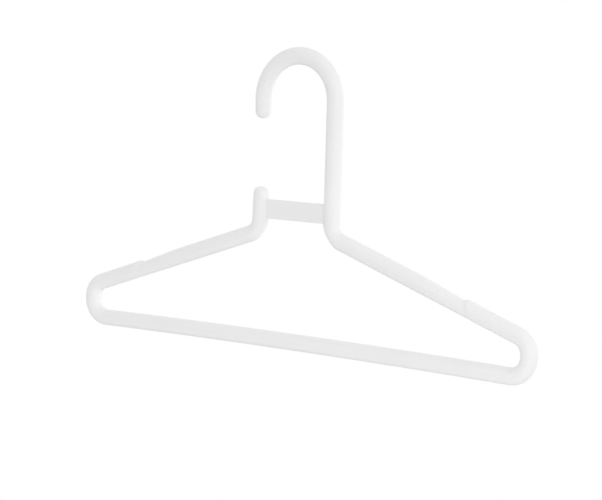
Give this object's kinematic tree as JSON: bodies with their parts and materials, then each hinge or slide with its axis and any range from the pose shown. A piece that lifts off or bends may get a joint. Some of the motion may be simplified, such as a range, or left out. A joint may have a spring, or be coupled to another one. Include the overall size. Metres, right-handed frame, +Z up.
{
  "type": "clothes hanger",
  "caption": "One-piece tubular plastic clothes hanger: open hook on a stem, neck web and post, notched sloping shoulders, straight bottom bar.",
  "frame": {"origin": "the rail seat: middle of the hook's inner face at its top, where the hanger hangs on a rail", "axes": "+X along the bottom bar towards the side that carries the hook's stem, +Z up, Y across the hanger's thickness"},
  "size_m": [0.41, 0.0126, 0.2278],
  "materials": {
    "white_plastic": "satin white polypropylene with a fine moulded texture"
  },
  "bodies": {
    "root": {"hook_tip": "white_plastic", "hook_crown": "white_plastic", "hook_stem": "white_plastic", "neck_post": "white_plastic", "neck_web": "white_plastic", "left_neck_bend": "white_plastic", "right_neck_bend": "white_plastic", "left_shoulder": "white_plastic", "right_shoulder": "white_plastic", "left_end_bend": "white_plastic", "right_end_bend": "white_plastic", "bottom_bar": "white_plastic"}
  },
  "joints": []
}
